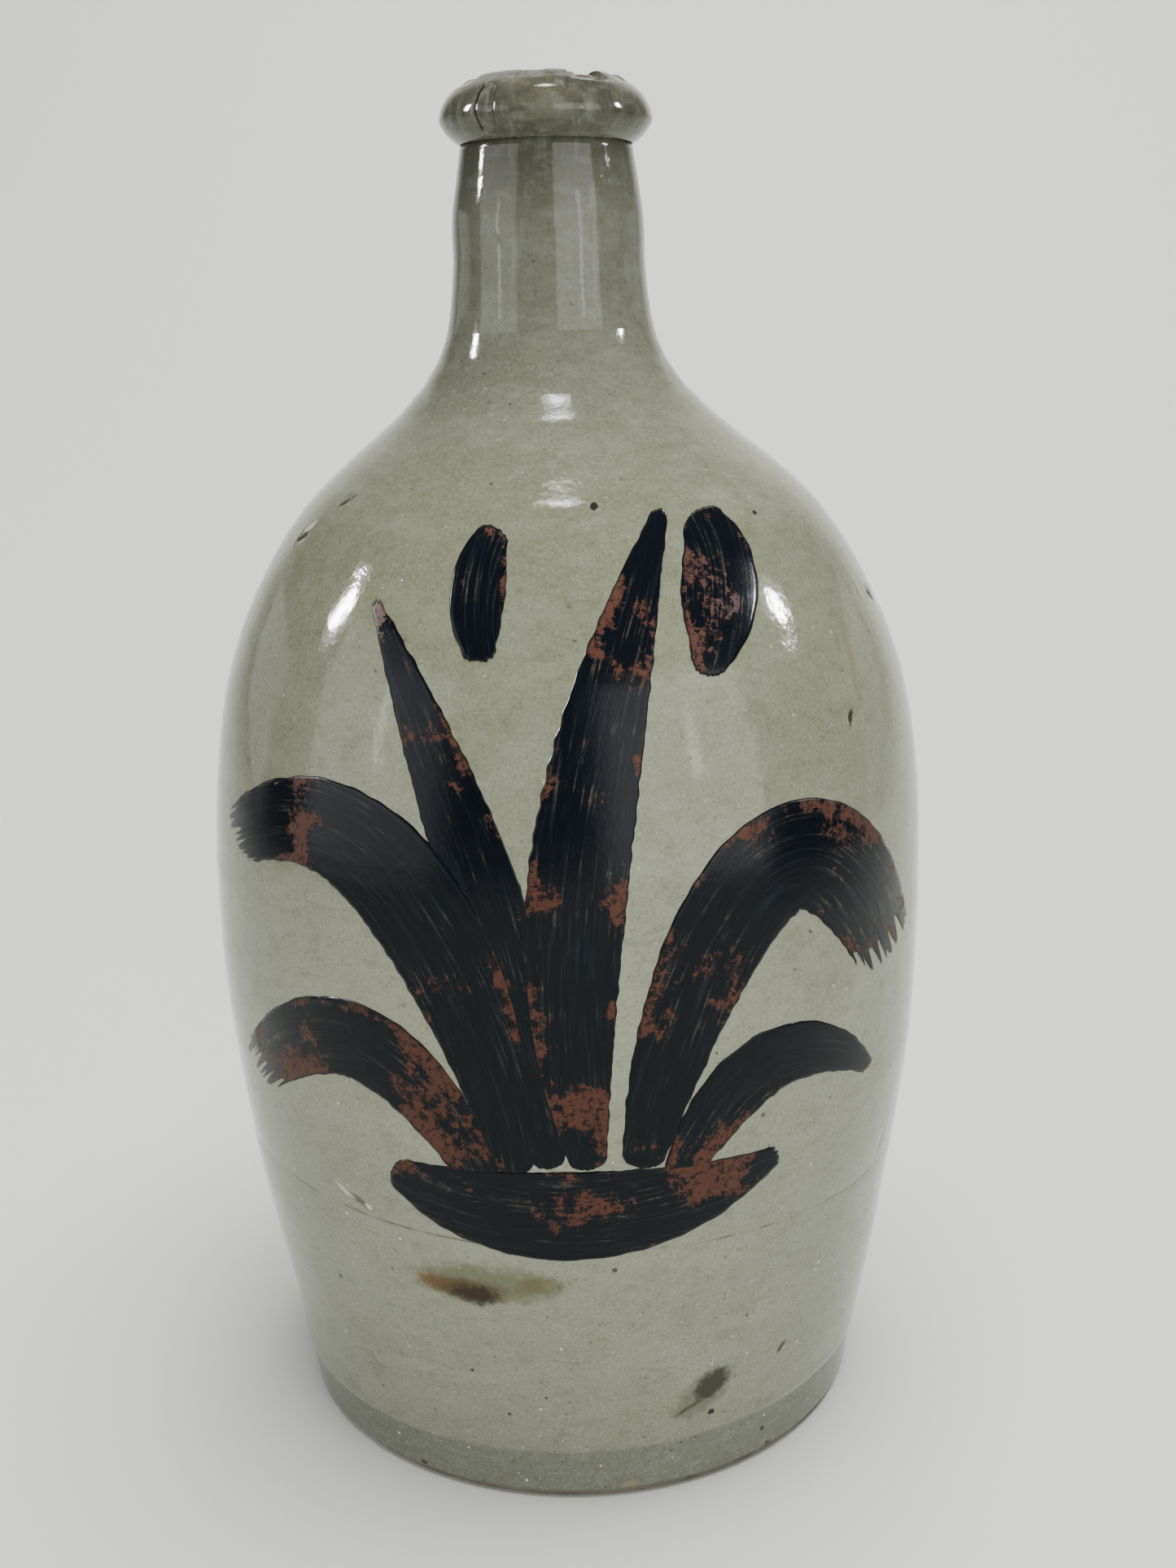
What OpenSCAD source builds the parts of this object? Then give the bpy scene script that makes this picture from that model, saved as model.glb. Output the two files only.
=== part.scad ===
// Stoneware sake bottle: thrown and luted in sections, glazed outside and inside, with
// a spray of grass brushed on the front in iron pigment.
// Millimetres, +Z up. The origin is the centre of the foot's standing edge, and the
// painted front faces -Y.

/* [Foot] */
// Radius of the foot at its standing edge
foot_r = 59.5; // [58:0.1:60]
// Radius of the foot band just below the step
band_r = 60.5; // [60:0.1:60.9]
// Height of the foot band
band_h = 11.6; // [9:0.1:13]
// Width of the flat ring that the bottle stands on
ring_w = 8; // [6:0.5:10]
// Depth of the turned recess under the base
recess_d = 1.5; // [1:0.1:3]
// Thickness of the floor
floor_t = 9; // [7:0.5:12]

/* [Lower wall] */
// Radius where the wall starts above the step
step_r = 61.3; // [61:0.1:62]
// Flare of the wall above the step, radius gained per height
step_flare = 0.17; // [0.12:0.01:0.22]
// Height of the joint between the lower wall and the belly
seam_z = 60; // [54:1:66]
// Radius at that joint
seam_r = 69.2; // [68.5:0.1:69.8]
// Flare at that joint
seam_flare = 0.135; // [0.11:0.005:0.16]

/* [Belly and shoulder] */
// Height of the widest place
belly_z = 110; // [106:1:116]
// Radius of the widest place
belly_r = 72.5; // [71:0.1:74]
// Height where the belly turns into the shoulder
turn_z = 150; // [146:1:154]
// Radius of that turn
turn_r = 68.4; // [67.5:0.1:69.5]
// Slope of that turn
turn_flare = -0.23; // [-0.3:0.01:-0.18]
// Height halfway down the round of the shoulder
round_z = 182; // [179:1:185]
// Radius there
round_r = 54; // [53:0.1:55]
// Slope there
round_flare = -0.68; // [-0.75:0.01:-0.6]
// Height where the shoulder is flattest
slope_z = 199; // [197:1:201]
// Radius there
slope_r = 36.3; // [35.5:0.1:37]
// Slope there
slope_flare = -1.31; // [-1.4:0.01:-1.2]

/* [Neck] */
// Height of the joint between the shoulder and the neck
throat_z = 214; // [212:1:216]
// Radius there
throat_r = 22.1; // [21.5:0.1:23]
// Slope there
throat_flare = -0.53; // [-0.6:0.01:-0.45]
// Height of the straight part of the neck
neck_z = 230; // [226:1:234]
// Radius there
neck_r = 18.45; // [18:0.05:19]
// Slope there
neck_flare = -0.15; // [-0.2:0.01:-0.1]
// Height of the crease under the collar
crease_z = 253; // [251:0.1:254]
// Radius of the crease
crease_r = 16.3; // [15.8:0.1:16.6]
// Slope of the neck at the crease
crease_flare = -0.15; // [-0.2:0.01:-0.05]

/* [Collar and mouth] */
// Radius of the collar at its widest
collar_r = 20.1; // [19.5:0.1:21]
// Height of the collar's widest place
collar_z = 257.2; // [256:0.1:258]
// Full height of the bottle
bottle_h = 264.8; // [264:0.1:267]
// Outer radius of the flat rim on top
rim_r = 13.6; // [13.2:0.1:15]
// Radius of the finished mouth
mouth_r = 11; // [10:0.1:12]
// Radius of the rounding inside the mouth
mouth_round = 1.6; // [1:0.1:2]

/* [Wall and glaze] */
// Thickness of the clay wall with its outer glaze
wall_t = 8; // [6:0.5:9]
// Thickness of the glaze
glaze_t = 0.5; // [0.3:0.05:0.6]
// Height where the glaze was wiped off the foot
wiped_z = 1.6; // [1.2:0.1:3]

/* [Brushwork] */
// Thickness of the iron pigment on the glaze
ink_t = 0.3; // [0.2:0.05:0.4]

/* [Fineness] */
// Height of one cone of the turned surfaces
pitch = 5; // [4:1:8]
// Segments round the pot in previews
$fn = 120; // [60:12:180]

/* [Hidden] */

clay = "#a89a86";
glaze = "#a9ab9c";
ink = "#1b2228";

edge_cut = 0.9; // bevel on the standing edge
step_rise = 0.6; // height of the small overhang above the foot band
fillet_z = 21; // where the round inside corner meets the wall
floor_z = recess_d + floor_t;
floor_flat_r = 42; // where that corner meets the floor
disc_r = foot_r - ring_w - recess_d; // joint between base disc and foot band
bend_steps = 5; // points on each short curve
under_rise = 1.8; // how steeply the collar's underside swells from the crease
crown_rise = 4.8; // how far the collar stays wide before it rounds to the rim

// The outside of the body as stations of height, radius and slope.
stations = [
    [band_h + step_rise, step_r, step_flare],
    [seam_z, seam_r, seam_flare],
    [belly_z, belly_r, 0],
    [turn_z, turn_r, turn_flare],
    [round_z, round_r, round_flare],
    [slope_z, slope_r, slope_flare],
    [throat_z, throat_r, throat_flare],
    [neck_z, neck_r, neck_flare],
    [crease_z, crease_r, crease_flare]
];
seam = 1; // stations where the sections of clay are joined
turn = 3;
throat = 6;
crease = 8;

// The cubic between stations a and b at the share t of the way up.
function cubic(a, b, t) = let(h = b[0] - a[0]) [
    a[0] + h * t,
    (2*t^3 - 3*t^2 + 1) * a[1] + (t^3 - 2*t^2 + t) * h * a[2]
        + (3*t^2 - 2*t^3) * b[1] + (t^3 - t^2) * h * b[2],
    6 * (t^2 - t) * (a[1] - b[1]) / h + (3*t^2 - 4*t + 1) * a[2] + (3*t^2 - 2*t) * b[2]
];

// A station moved square into the wall, as a point of radius and height. The hole
// through the neck never gets narrower than r_min.
function sunk(s, depth, r_min) = let(k = sqrt(1 + s[2]^2))
    [max(s[1] - depth / k, r_min), s[0] + depth * s[2] / k];

// Points of the body's outline from one station up to another, depth below the surface.
function side(from, to, depth, r_min = 0) = [
    for (i = [from:to - 1])
        let(a = stations[i], b = stations[i + 1], n = ceil((b[0] - a[0]) / pitch))
            for (k = [0:n - 1]) sunk(cubic(a, b, k / n), depth, r_min),
    sunk(stations[to], depth, r_min)
];

// A short curve from a to c that leans towards b.
function bend(a, b, c) = [
    for (k = [0:bend_steps]) let(t = k / bend_steps) (1-t)^2 * a + 2*t*(1-t) * b + t^2 * c
];

function backwards(points) = [for (i = [len(points) - 1:-1:0]) points[i]];

// The foot's outside, from where the glaze starts to the step.
function foot_side(depth) = [
    [foot_r - depth, wiped_z], [band_r - depth, band_h]
];

// The collar's outside, over the rim and down into the mouth.
function collar_side(depth) = concat(
    bend([crease_r - depth, crease_z], [collar_r - 0.8 - depth, crease_z + under_rise],
        [collar_r - depth, collar_z]),
    bend([collar_r - depth, collar_z], [collar_r - 0.1 - depth, collar_z + crown_rise],
        [rim_r - depth / 2, bottle_h - depth]),
    bend([mouth_r + mouth_round, bottle_h - depth], [mouth_r + depth, bottle_h - depth],
        [mouth_r + depth, bottle_h - mouth_round])
);

// The round inside corner between the floor and the wall, from the floor outwards.
function corner_side(depth) = let(top = sunk(cubic(stations[0], stations[1],
        (fillet_z - stations[0][0]) / (seam_z - stations[0][0])), wall_t + depth, 0))
    bend([floor_flat_r, floor_z + depth], [top[0] - 1, floor_z + depth], top);

// The inside of the lower wall above that corner.
function lower_inside(depth) = [
    for (p = side(0, seam, wall_t + depth)) if (p[1] > fillet_z + 3) p
];

module turned(points) {
    rotate_extrude() polygon(points);
}

// One section of clay between two stations.
module section(from, to) {
    color(clay) turned(concat(
        side(from, to, glaze_t),
        backwards(side(from, to, wall_t, mouth_r + glaze_t))
    ));
}

module base_disc() {
    color(clay) turned([[0, recess_d], [disc_r, recess_d], [disc_r, floor_z], [0, floor_z]]);
}

module foot_band() {
    out = foot_r - glaze_t;
    color(clay) turned(concat(
        [[disc_r, recess_d], [disc_r + recess_d, 0], [out - edge_cut, 0], [out, edge_cut]],
        foot_side(glaze_t),
        [[disc_r, band_h]]
    ));
}

// The wall up to the joint line, with the clay pressed into the corner on the floor.
module lower_wall() {
    color(clay) turned(concat(
        [[disc_r, floor_z], [disc_r, band_h], [band_r - glaze_t, band_h]],
        side(0, seam, glaze_t),
        backwards(lower_inside(0)),
        backwards(corner_side(0))
    ));
}

module belly_wall() {
    section(seam, turn);
}

module shoulder_wall() {
    section(turn, throat);
}

module neck_tube() {
    section(throat, crease);
}

module lip_collar() {
    inside = mouth_r + glaze_t;
    bottom = sunk(stations[crease], wall_t, inside);
    color(clay) turned(concat(collar_side(glaze_t), [bottom]));
}

// The outer glaze, from the foot over the collar to the mouth.
module glaze_coat() {
    outside = concat(
        [[foot_r, wiped_z + glaze_t], [band_r, band_h]], side(0, crease, 0), collar_side(0)
    );
    inside = concat(foot_side(glaze_t), side(0, crease, glaze_t), collar_side(glaze_t));
    color(glaze) turned(concat(outside, backwards(inside)));
}

// The inner glaze, from the mouth down the neck and wall and over the floor.
module glaze_lining() {
    mouth_z = bottle_h - mouth_round;
    onto_clay = concat(
        [[0, floor_z]], corner_side(0), lower_inside(0),
        side(seam, crease, wall_t, mouth_r + glaze_t), [[mouth_r + glaze_t, mouth_z]]
    );
    finished = concat(
        [[0, floor_z + glaze_t]], corner_side(glaze_t), lower_inside(glaze_t),
        side(seam, crease, wall_t + glaze_t, mouth_r), [[mouth_r, mouth_z]]
    );
    color(glaze) turned(concat(finished, backwards(onto_clay)));
}

// The strokes in the order they were laid: start, two points it leans towards, end (all
// across and up), then its width at the start, in the middle and at the end.
strokes = [
    ["blade_short", [-4, 79], [-8, 110], [-16, 140], [-32, 174], [6, 23, 2]],
    ["blade_tall", [3, 79], [-3, 114], [3, 152], [17, 188], [7, 29, 3]],
    ["blade_left", [-10, 78], [-16, 118], [-34, 150], [-60, 130], [7, 30, 10]],
    ["blade_right", [13, 79], [22, 124], [42, 152], [59, 108], [8, 29, 13]],
    ["blade_low_left", [-16, 74], [-28, 100], [-44, 106], [-59, 84], [7, 23, 9]],
    ["blade_low_right", [20, 75], [29, 94], [41, 100], [56, 84], [7, 21, 3]],
    ["ground_stroke", [-30, 72], [-12, 65], [14, 65], [36, 73], [8, 31, 5]],
    ["bud_dab", [25, 186], [28, 180], [28, 172], [25, 165], [8, 20, 7]],
    ["seed_dab", [-12, 185], [-14, 180], [-15, 174], [-14, 168], [6, 13, 6]]
];
stroke_steps = 12; // points along each side of a stroke
blunt = 0.35; // how far a stroke's end runs past its last width, in widths

function path_at(s, t) =
    (1-t)^3 * s[1] + 3*t*(1-t)^2 * s[2] + 3*t^2*(1-t) * s[3] + t^3 * s[4];

function path_along(s, t) = let(
        d = (1-t)^2 * (s[2] - s[1]) + 2*t*(1-t) * (s[3] - s[2]) + t^2 * (s[4] - s[3])
    ) d / norm(d);

function width_at(s, t) = (1-t)^2 * s[5][0] + 2*t*(1-t) * s[5][1] + t^2 * s[5][2];

// One edge of a stroke: hand is 1 on its left and -1 on its right.
function stroke_edge(s, hand) = [
    for (k = [0:stroke_steps]) let(t = k / stroke_steps, along = path_along(s, t))
        path_at(s, t) + hand * width_at(s, t) / 2 * [-along[1], along[0]]
];

module outline(s) {
    polygon(concat(
        [path_at(s, 0) - blunt * width_at(s, 0) * path_along(s, 0)],
        stroke_edge(s, 1),
        [path_at(s, 1) + blunt * width_at(s, 1) * path_along(s, 1)],
        backwards(stroke_edge(s, -1))
    ));
}

// A thin skin of pigment on the glaze, cut away where a later stroke lies over it.
module brushed(i) {
    color(ink) intersection() {
        turned(concat(side(0, throat, -ink_t), backwards(side(0, throat, 0))));
        rotate([90, 0, 0]) linear_extrude(belly_r + 1) difference() {
            outline(strokes[i]);
            for (later = [i + 1:1:len(strokes) - 1]) outline(strokes[later]);
        }
    }
}

module blade_short() {
    brushed(0);
}

module blade_tall() {
    brushed(1);
}

module blade_left() {
    brushed(2);
}

module blade_right() {
    brushed(3);
}

module blade_low_left() {
    brushed(4);
}

module blade_low_right() {
    brushed(5);
}

module ground_stroke() {
    brushed(6);
}

module bud_dab() {
    brushed(7);
}

module seed_dab() {
    brushed(8);
}

base_disc();
foot_band();
lower_wall();
belly_wall();
shoulder_wall();
neck_tube();
lip_collar();
glaze_coat();
glaze_lining();
blade_short();
blade_tall();
blade_left();
blade_right();
blade_low_left();
blade_low_right();
ground_stroke();
bud_dab();
seed_dab();
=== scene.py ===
# Stoneware sake bottle: a thrown flask under a grey-green ash glaze, with a spray of
# grass brushed on its front in iron pigment. Sizes in the dictionaries are millimetres
# and degrees. Places on the pot are given as turn and height: turn is 0 at the painted
# front (-Y) and grows towards +X.
import math

import bmesh
import bpy
import numpy as np
from mathutils import Matrix, Vector, noise
from mathutils.bvhtree import BVHTree


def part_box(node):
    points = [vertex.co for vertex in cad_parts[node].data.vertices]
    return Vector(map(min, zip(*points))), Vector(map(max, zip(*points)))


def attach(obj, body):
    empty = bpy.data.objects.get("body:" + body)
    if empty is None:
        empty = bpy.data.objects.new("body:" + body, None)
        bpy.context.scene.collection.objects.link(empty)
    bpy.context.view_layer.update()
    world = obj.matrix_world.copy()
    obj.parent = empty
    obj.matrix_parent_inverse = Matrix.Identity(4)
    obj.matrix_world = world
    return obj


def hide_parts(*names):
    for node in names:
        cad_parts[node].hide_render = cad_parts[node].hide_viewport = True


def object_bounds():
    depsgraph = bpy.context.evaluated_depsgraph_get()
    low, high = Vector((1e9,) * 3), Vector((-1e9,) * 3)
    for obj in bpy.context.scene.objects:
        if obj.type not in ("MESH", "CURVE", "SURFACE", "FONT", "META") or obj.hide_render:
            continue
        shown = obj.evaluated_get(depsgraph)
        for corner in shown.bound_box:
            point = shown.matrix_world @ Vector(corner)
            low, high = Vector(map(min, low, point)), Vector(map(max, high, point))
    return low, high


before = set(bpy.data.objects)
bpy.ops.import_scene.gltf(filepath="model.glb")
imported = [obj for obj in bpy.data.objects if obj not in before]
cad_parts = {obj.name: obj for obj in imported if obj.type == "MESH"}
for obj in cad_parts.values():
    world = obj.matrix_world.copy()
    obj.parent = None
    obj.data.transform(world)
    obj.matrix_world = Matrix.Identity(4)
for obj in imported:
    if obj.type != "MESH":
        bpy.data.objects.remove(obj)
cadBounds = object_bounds()
mm = 0.001


# The camera in front of the pot, looking down on it.
cameraPlace = {
    "position": (4.0, -343.6, 220.8),
    "lookDown": 15.15,
    "roll": -0.88,
    "lens": 39.23,
}


def makeCamera(place):
    camera = bpy.data.objects.new("camera", bpy.data.cameras.new("camera"))
    bpy.context.scene.collection.objects.link(camera)
    camera.data.lens = place["lens"]
    camera.data.sensor_width = 36
    camera.data.clip_start = 0.01
    tilt = Matrix.Rotation(math.radians(90 - place["lookDown"]), 4, "X")
    roll = Matrix.Rotation(math.radians(place["roll"]), 4, "Z")
    camera.matrix_world = Matrix.Translation(Vector(place["position"]) * mm) @ tilt @ roll
    bpy.context.scene.camera = camera


# The outline of a turned node, as points of radius and height in order, walked along
# the edges of its mesh that lie in the half plane y = 0, x > 0.
def readSection(node):
    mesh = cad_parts[node].data
    places = np.empty(len(mesh.vertices) * 3, np.float32)
    mesh.vertices.foreach_get("co", places)
    ends = np.empty(len(mesh.edges) * 2, np.int32)
    mesh.edges.foreach_get("vertices", ends)
    merged, index = np.unique(
        np.round(places.reshape(-1, 3), 6), axis=0, return_inverse=True
    )
    onPlane = (np.abs(merged[:, 1]) < 3e-6) & (merged[:, 0] > -1e-6)
    neighbours = {}
    for a, b in index.reshape(-1)[ends].reshape(-1, 2):
        if a != b and onPlane[a] and onPlane[b]:
            neighbours.setdefault(a, set()).add(b)
            neighbours.setdefault(b, set()).add(a)
    looseEnds = [v for v in neighbours if len(neighbours[v]) == 1]
    lowest = min(neighbours, key=lambda v: (merged[v, 2], merged[v, 0]))
    walk = [min(looseEnds, key=lambda v: merged[v, 2]) if looseEnds else lowest]
    seen = set(walk)
    while True:
        onward = [v for v in neighbours[walk[-1]] if v not in seen]
        if not onward:
            break
        # a closed outline sets off along its lower neighbour
        step = min(onward, key=lambda v: merged[v, 2])
        walk.append(step)
        seen.add(step)
    return merged[walk][:, [0, 2]].astype(float)


# Points along a run of outline at an even spacing: smooth where the run is smooth, with
# its corners kept.
def fineRun(points, spacing, cornerTurn=30):
    steps = np.diff(points, axis=0)
    headings = np.unwrap(np.arctan2(steps[:, 1], steps[:, 0]))
    turns = np.degrees(np.abs(np.diff(headings)))
    corners = [0] + [i + 1 for i, turn in enumerate(turns) if turn > cornerTurn]
    corners.append(len(points) - 1)
    fine = [points[:1]]
    for first, last in zip(corners, corners[1:]):
        stretch = points[first : last + 1]
        length = np.append(0, np.cumsum(np.linalg.norm(np.diff(stretch, axis=0), axis=1)))
        count = max(int(round(length[-1] / (spacing * mm))), 1)
        at = np.linspace(0, length[-1], count + 1)[1:]
        if len(stretch) < 3:
            fine.append(stretch[0] + np.outer(at / length[-1], stretch[1] - stretch[0]))
            continue
        fine.append(
            np.column_stack([cubicThrough(at, length, stretch[:, k]) for k in (0, 1)])
        )
    return np.concatenate(fine)


# The smooth curve through known values, read at other places.
def cubicThrough(at, known, values):
    known = np.asarray(known, float)
    values = np.asarray(values, float)
    slopes = np.gradient(values, known, edge_order=2 if len(known) > 2 else 1)
    span = np.clip(np.searchsorted(known, at) - 1, 0, len(known) - 2)
    width = known[span + 1] - known[span]
    t = np.clip((at - known[span]) / width, 0, 1)
    return (
        (2 * t**3 - 3 * t**2 + 1) * values[span]
        + (t**3 - 2 * t**2 + t) * width * slopes[span]
        + (3 * t**2 - 2 * t**3) * values[span + 1]
        + (t**3 - t**2) * width * slopes[span + 1]
    )


# A closed outline for a thin shell: a run, and the same run moved into the wall with
# only every few of its points.
def shellOutline(run, thickness, keepEvery):
    tangent = np.gradient(run, axis=0)
    tangent /= np.linalg.norm(tangent, axis=1)[:, None]
    inward = np.column_stack([-tangent[:, 1], tangent[:, 0]])
    inner = run + inward * thickness * mm
    kept = sorted(set(range(0, len(run), keepEvery)) | {len(run) - 1})
    return np.concatenate([run, inner[kept][::-1], run[:1]])


def addNode(tree, kind, **settings):
    node = tree.nodes.new(kind)
    for name, value in settings.items():
        setattr(node, name, value)
    return node


# Fills a node's sockets in order: a socket to link, or a plain value.
def feed(tree, node, *values):
    for socket, value in zip([s for s in node.inputs if s.enabled], values):
        if value is None:
            continue
        if isinstance(value, bpy.types.NodeSocket):
            tree.links.new(value, socket)
        else:
            socket.default_value = value
    return next(s for s in node.outputs if s.enabled)


def maths(tree, operation, *values):
    return feed(tree, addNode(tree, "ShaderNodeMath", operation=operation), *values)


# Revolves the outline held in the base mesh, with the columns closer together at the
# front, and lays faint throwing rings on it.
def makeTurningTree():
    tree = bpy.data.node_groups.new("turnedPot", "GeometryNodeTree")
    face = tree.interface
    face.new_socket("Outline", in_out="INPUT", socket_type="NodeSocketGeometry")
    for name, kind, value in (
        ("Columns", "NodeSocketInt", 360),
        ("Rows", "NodeSocketInt", 100),
        ("Front Crowding", "NodeSocketFloat", 0.3),
        ("Ring Depth", "NodeSocketFloat", 0.0001),
        ("Ring Spacing", "NodeSocketFloat", 0.006),
        ("Material", "NodeSocketMaterial", None),
    ):
        socket = face.new_socket(name, in_out="INPUT", socket_type=kind)
        if value is not None:
            socket.default_value = value
    face.new_socket("Pot", in_out="OUTPUT", socket_type="NodeSocketGeometry")
    given = addNode(tree, "NodeGroupInput").outputs
    grid = addNode(tree, "GeometryNodeMeshGrid")
    columnEdges = maths(tree, "ADD", given["Columns"], 1.0)
    gridMesh = feed(tree, grid, 1.0, 1.0, columnEdges, given["Rows"])
    place = addNode(tree, "ShaderNodeSeparateXYZ")
    feed(tree, place, addNode(tree, "GeometryNodeInputPosition").outputs[0])
    across = maths(tree, "ADD", place.outputs["X"], 0.5)
    up = maths(tree, "ADD", place.outputs["Y"], 0.5)
    row = maths(tree, "ROUND", maths(
        tree, "MULTIPLY", up, maths(tree, "SUBTRACT", given["Rows"], 1.0)
    ))
    sample = addNode(tree, "GeometryNodeSampleIndex", data_type="FLOAT_VECTOR")
    feed(tree, sample, given["Outline"])
    tree.links.new(addNode(tree, "GeometryNodeInputPosition").outputs[0], sample.inputs["Value"])
    tree.links.new(row, sample.inputs["Index"])
    point = addNode(tree, "ShaderNodeSeparateXYZ")
    feed(tree, point, sample.outputs["Value"])
    # once round, starting and ending at the back
    fullTurn = maths(tree, "MULTIPLY", across, 2 * math.pi)
    pull = maths(tree, "MULTIPLY", maths(tree, "SINE", fullTurn), given["Front Crowding"])
    angle = maths(tree, "ADD", maths(tree, "ADD", fullTurn, pull), math.pi / 2)
    cosine = maths(tree, "COSINE", angle)
    sine = maths(tree, "SINE", angle)
    ringSpace = addNode(tree, "ShaderNodeCombineXYZ")
    ringPlace = feed(
        tree,
        ringSpace,
        maths(tree, "MULTIPLY", cosine, 0.35),
        maths(tree, "MULTIPLY", sine, 0.35),
        maths(tree, "DIVIDE", point.outputs["Z"], given["Ring Spacing"]),
    )
    rings = addNode(tree, "ShaderNodeTexNoise", noise_dimensions="3D")
    tree.links.new(ringPlace, rings.inputs["Vector"])
    rings.inputs["Scale"].default_value = 1.0
    rings.inputs["Detail"].default_value = 1.5
    swing = maths(tree, "SUBTRACT", rings.outputs[0], 0.5)
    depth = maths(tree, "MULTIPLY", maths(tree, "MULTIPLY", swing, given["Ring Depth"]), 2.0)
    radius = maths(tree, "ADD", point.outputs["X"], depth)
    onAxis = maths(tree, "LESS_THAN", point.outputs["X"], 1e-5)
    offAxis = maths(tree, "SUBTRACT", 1.0, onAxis)
    radius = maths(tree, "MULTIPLY", radius, offAxis)
    turned = addNode(tree, "ShaderNodeCombineXYZ")
    turnedPlace = feed(
        tree,
        turned,
        maths(tree, "MULTIPLY", radius, cosine),
        maths(tree, "MULTIPLY", radius, sine),
        point.outputs["Z"],
    )
    move = addNode(tree, "GeometryNodeSetPosition")
    tree.links.new(gridMesh, move.inputs["Geometry"])
    tree.links.new(turnedPlace, move.inputs["Position"])
    close = addNode(tree, "GeometryNodeMergeByDistance")
    tree.links.new(move.outputs[0], close.inputs["Geometry"])
    close.inputs["Distance"].default_value = 1e-6
    smooth = addNode(tree, "GeometryNodeSetShadeSmooth")
    tree.links.new(close.outputs[0], smooth.inputs["Geometry"])
    real = addNode(tree, "GeometryNodeRealizeInstances")
    tree.links.new(smooth.outputs[0], real.inputs["Geometry"])
    glazed = addNode(tree, "GeometryNodeSetMaterial")
    tree.links.new(real.outputs[0], glazed.inputs["Geometry"])
    tree.links.new(given["Material"], glazed.inputs["Material"])
    tree.links.new(glazed.outputs[0], addNode(tree, "NodeGroupOutput").inputs[0])
    return tree


def setInputs(modifier, values):
    for item in modifier.node_group.interface.items_tree:
        if item.item_type == "SOCKET" and item.in_out == "INPUT" and item.name in values:
            modifier[item.identifier] = values[item.name]


# Runs a node tree on a base mesh and keeps the result as a plain mesh.
def growPiece(name, base, tree, values):
    piece = bpy.data.objects.new(name, base)
    bpy.context.scene.collection.objects.link(piece)
    modifier = piece.modifiers.new("grow", "NODES")
    modifier.node_group = tree
    setInputs(modifier, values)
    bpy.context.view_layer.update()
    grown = piece.evaluated_get(bpy.context.evaluated_depsgraph_get())
    mesh = bpy.data.meshes.new_from_object(grown)
    piece.modifiers.clear()
    piece.data = mesh
    mesh.name = name
    return piece


def turnPiece(name, outline, columns, crowding, ringDepth, ringSpacing, material):
    base = bpy.data.meshes.new(name + "Outline")
    base.from_pydata([(r, 0, z) for r, z in outline], [], [])
    piece = growPiece(name, base, turningTree, {
        "Columns": columns,
        "Rows": len(outline),
        "Front Crowding": crowding,
        "Ring Depth": ringDepth * mm,
        "Ring Spacing": ringSpacing * mm,
        "Material": material,
    })
    faceOutwards(piece.data)
    return piece


def faceOutwards(mesh):
    shape = bmesh.new()
    shape.from_mesh(mesh)
    bmesh.ops.recalc_face_normals(shape, faces=shape.faces)
    shape.to_mesh(mesh)
    shape.free()


# How far the pot leans across, by height.
lean = {
    "heights": (0, 30, 60, 110, 150, 170, 185, 200, 215, 230, 266),
    "across": (0.6, 0.5, 0.05, -0.2, -0.1, -0.4, -0.6, -1.0, -1.6, -1.8, -2.05),
}


def readPlaces(mesh):
    places = np.empty(len(mesh.vertices) * 3, np.float32)
    mesh.vertices.foreach_get("co", places)
    return places.reshape(-1, 3).astype(float)


def writePlaces(mesh, places):
    mesh.vertices.foreach_set("co", places.astype(np.float32).ravel())
    mesh.update()


def leanOver(places):
    heights = np.clip(places[:, 2] / mm, 0, lean["heights"][-1])
    places[:, 0] += cubicThrough(heights, lean["heights"], lean["across"]) * mm
    return places


def writeValues(mesh, name, values):
    attribute = mesh.attributes.new(name, "FLOAT", "POINT")
    attribute.data.foreach_set("value", np.asarray(values, np.float32))


def turnAndHeight(places):
    return np.degrees(np.arctan2(places[:, 0], -places[:, 1])), places[:, 2] / mm


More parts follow.
